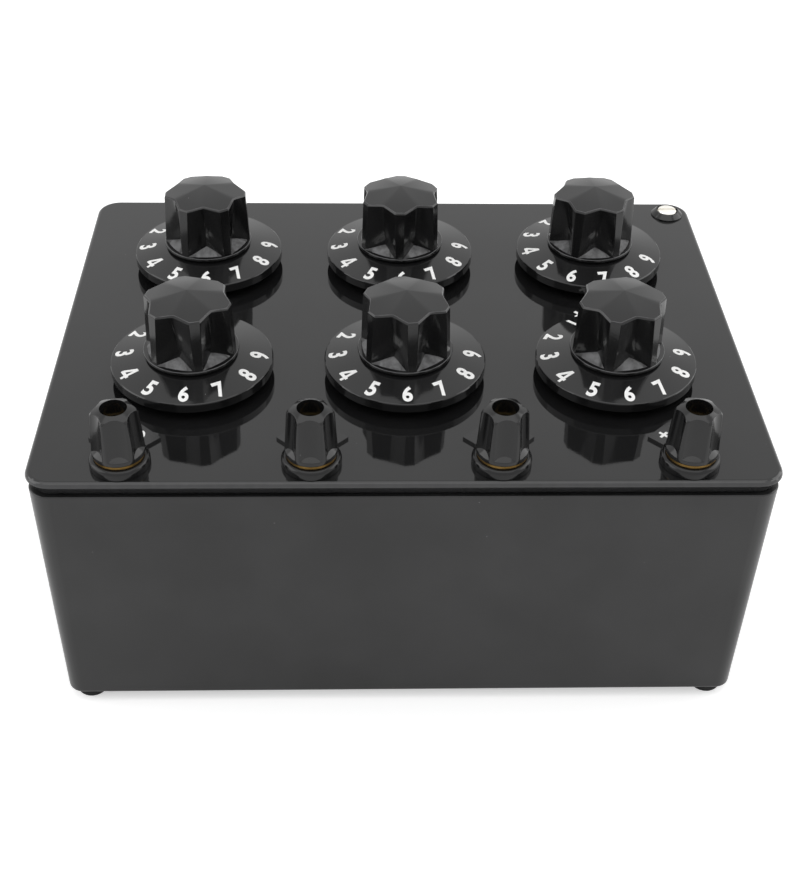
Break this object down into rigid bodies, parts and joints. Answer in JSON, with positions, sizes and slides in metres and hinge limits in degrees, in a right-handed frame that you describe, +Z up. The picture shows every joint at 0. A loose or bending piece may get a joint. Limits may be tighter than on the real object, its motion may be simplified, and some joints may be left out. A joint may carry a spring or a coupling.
{
  "type": "decade resistance box",
  "caption": "Black moulded box whose fluted, numbered dials turn inner stepped switches, with screw-down binding posts that take plugs or bare wire along the front.",
  "frame": {"origin": "under the middle of the box, on the surface its feet stand on", "axes": "+X to the right along the width, +Y to the back, +Z up; the binding posts are at the front, -Y"},
  "size_m": [0.199, 0.15, 0.1122],
  "materials": {
    "case_black": "satin moulded",
    "panel_black": "polished",
    "dial_black": "satin with white figures",
    "knob_black": "polished",
    "post_black": "polished",
    "tag_black": "engraved",
    "foot_rubber": "matte",
    "laminate": "paper laminate",
    "winding": "varnished winding",
    "copper": "tinned copper wire",
    "brass": "turned",
    "steel": "turned"
  },
  "bodies": {
    "box": {"case": "case_black", "top_panel": "panel_black", "feet": "foot_rubber", "case_screws": "steel", "panel_inserts": "brass", "seal_cup": "panel_black", "seal_screw": "steel", "post_collars": "post_black", "post_studs": "brass", "post_nuts": "brass", "solder_tags": "steel", "marker_tags": "tag_black", "switch_frames": "steel", "switch_bushes": "brass", "bush_nuts": "steel", "switch_decks": "laminate", "deck_screws": "steel", "deck_contacts": "brass", "stop_posts": "steel", "detent_springs": "steel", "resistor_bobbins": "winding", "link_wires": "copper"},
    "dial_set_1": {"dial_1": "dial_black", "knob_1": "knob_black", "shaft_1": "steel", "rotor_1": "laminate", "brush_1": "brass"},
    "dial_set_2": {"dial_2": "dial_black", "knob_2": "knob_black", "shaft_2": "steel", "rotor_2": "laminate", "brush_2": "brass"},
    "dial_set_3": {"dial_3": "dial_black", "knob_3": "knob_black", "shaft_3": "steel", "rotor_3": "laminate", "brush_3": "brass"},
    "dial_set_4": {"dial_4": "dial_black", "knob_4": "knob_black", "shaft_4": "steel", "rotor_4": "laminate", "brush_4": "brass"},
    "dial_set_5": {"dial_5": "dial_black", "knob_5": "knob_black", "shaft_5": "steel", "rotor_5": "laminate", "brush_5": "brass"},
    "dial_set_6": {"dial_6": "dial_black", "knob_6": "knob_black", "shaft_6": "steel", "rotor_6": "laminate", "brush_6": "brass"},
    "clamp_1": {"clamp_washer_1": "brass"},
    "cap_1": {"post_cap_1": "post_black"},
    "clamp_2": {"clamp_washer_2": "brass"},
    "cap_2": {"post_cap_2": "post_black"},
    "clamp_3": {"clamp_washer_3": "brass"},
    "cap_3": {"post_cap_3": "post_black"},
    "clamp_4": {"clamp_washer_4": "brass"},
    "cap_4": {"post_cap_4": "post_black"}
  },
  "joints": [
    {"name": "dial_1_turn", "type": "hinge", "parent": "box", "child": "dial_set_1", "pos_m": [-0.0594, -0.0255, 0.0845], "axis": [0, 0, 1], "range_deg": [-270, 0]},
    {"name": "dial_2_turn", "type": "hinge", "parent": "box", "child": "dial_set_2", "pos_m": [0.0006, -0.0255, 0.0845], "axis": [0, 0, 1], "range_deg": [-270, 0]},
    {"name": "dial_3_turn", "type": "hinge", "parent": "box", "child": "dial_set_3", "pos_m": [0.0606, -0.0255, 0.0845], "axis": [0, 0, 1], "range_deg": [-270, 0]},
    {"name": "dial_4_turn", "type": "hinge", "parent": "box", "child": "dial_set_4", "pos_m": [-0.0594, 0.0345, 0.0845], "axis": [0, 0, 1], "range_deg": [-270, 0]},
    {"name": "dial_5_turn", "type": "hinge", "parent": "box", "child": "dial_set_5", "pos_m": [0.0006, 0.0345, 0.0845], "axis": [0, 0, 1], "range_deg": [-270, 0]},
    {"name": "dial_6_turn", "type": "hinge", "parent": "box", "child": "dial_set_6", "pos_m": [0.0606, 0.0345, 0.0845], "axis": [0, 0, 1], "range_deg": [-247, 23]},
    {"name": "clamp_1_lift", "type": "slide", "parent": "box", "child": "clamp_1", "axis": [0, 0, 1], "range_m": [0, 0.005]},
    {"name": "cap_1_turn", "type": "hinge", "parent": "clamp_1", "child": "cap_1", "pos_m": [-0.075, -0.066, 0.0845], "axis": [0, 0, 1], "range_deg": [0, 1800]},
    {"name": "clamp_2_lift", "type": "slide", "parent": "box", "child": "clamp_2", "axis": [0, 0, 1], "range_m": [0, 0.005]},
    {"name": "cap_2_turn", "type": "hinge", "parent": "clamp_2", "child": "cap_2", "pos_m": [-0.025, -0.066, 0.0845], "axis": [0, 0, 1], "range_deg": [0, 1800]},
    {"name": "clamp_3_lift", "type": "slide", "parent": "box", "child": "clamp_3", "axis": [0, 0, 1], "range_m": [0, 0.005]},
    {"name": "cap_3_turn", "type": "hinge", "parent": "clamp_3", "child": "cap_3", "pos_m": [0.025, -0.066, 0.0845], "axis": [0, 0, 1], "range_deg": [0, 1800]},
    {"name": "clamp_4_lift", "type": "slide", "parent": "box", "child": "clamp_4", "axis": [0, 0, 1], "range_m": [0, 0.005]},
    {"name": "cap_4_turn", "type": "hinge", "parent": "clamp_4", "child": "cap_4", "pos_m": [0.075, -0.066, 0.0845], "axis": [0, 0, 1], "range_deg": [0, 1800]}
  ],
  "couplings": [
    {"joint": "cap_1_turn", "follows": "clamp_1_lift", "rad_per_m": 6283.2},
    {"joint": "cap_2_turn", "follows": "clamp_2_lift", "rad_per_m": 6283.2},
    {"joint": "cap_3_turn", "follows": "clamp_3_lift", "rad_per_m": 6283.2},
    {"joint": "cap_4_turn", "follows": "clamp_4_lift", "rad_per_m": 6283.2}
  ]
}
